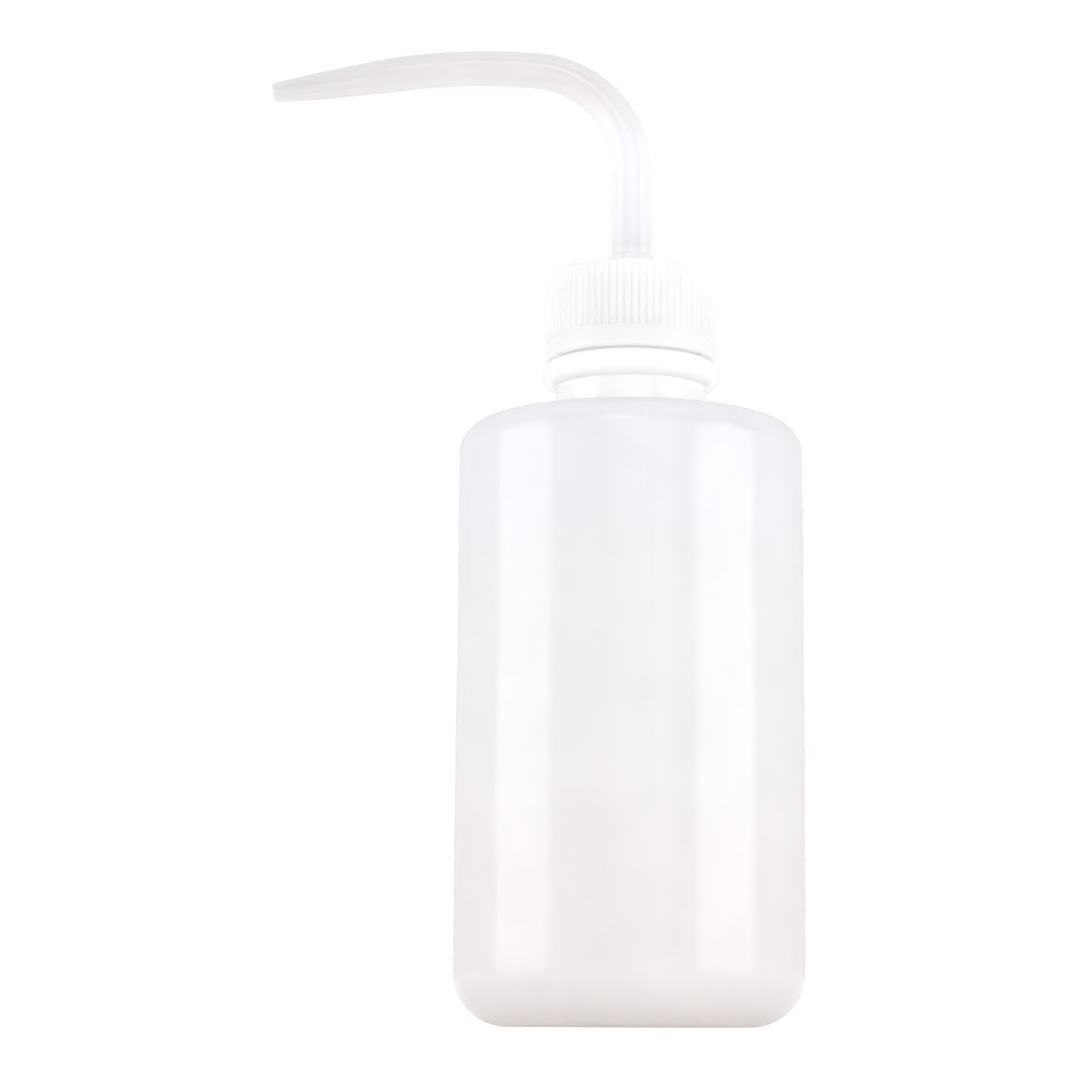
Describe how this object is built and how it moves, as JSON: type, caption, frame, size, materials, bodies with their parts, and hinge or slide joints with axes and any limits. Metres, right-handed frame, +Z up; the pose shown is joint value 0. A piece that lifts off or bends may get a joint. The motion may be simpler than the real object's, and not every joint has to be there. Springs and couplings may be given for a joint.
{
  "type": "wash bottle",
  "caption": "Translucent squeeze wash bottle with a volume scale, a ribbed screw cap, a seal plug, a bent tapering spout and a dip tube.",
  "frame": {"origin": "middle of the flat underside, on the bottle's axis", "axes": "+Z up along the bottle's axis, -X the way the spout points, +X through the volume scale"},
  "size_m": [0.0972, 0.0616, 0.1767],
  "materials": {
    "bottle_ldpe": "translucent milky blow-moulded polyethylene, satin",
    "cap_pp": "translucent natural polypropylene, satin, finely ribbed",
    "plug_ldpe": "translucent natural polyethylene, satin",
    "spout_ldpe": "translucent natural polyethylene, smooth satin",
    "tube_ldpe": "translucent extruded polyethylene, satin"
  },
  "bodies": {
    "bottle": {"bottle": "bottle_ldpe"},
    "closure": {"seal_plug": "plug_ldpe"},
    "cap": {"screw_cap": "cap_pp"},
    "nozzle": {"spout": "spout_ldpe", "dip_tube": "tube_ldpe"}
  },
  "joints": [
    {"name": "closure_rise", "type": "slide", "parent": "bottle", "child": "closure", "axis": [0, 0, 1], "range_m": [0, 0.006]},
    {"name": "cap_turn", "type": "hinge", "parent": "closure", "child": "cap", "pos_m": [0, 0, 0.126], "axis": [0, 0, 1], "range_deg": [0, 540]},
    {"name": "spout_swivel", "type": "hinge", "parent": "closure", "child": "nozzle", "pos_m": [0, 0, 0.132], "axis": [0, 0, 1], "continuous": true}
  ],
  "couplings": [
    {"joint": "closure_rise", "follows": "cap_turn", "m_per_rad": 0.0006366}
  ]
}
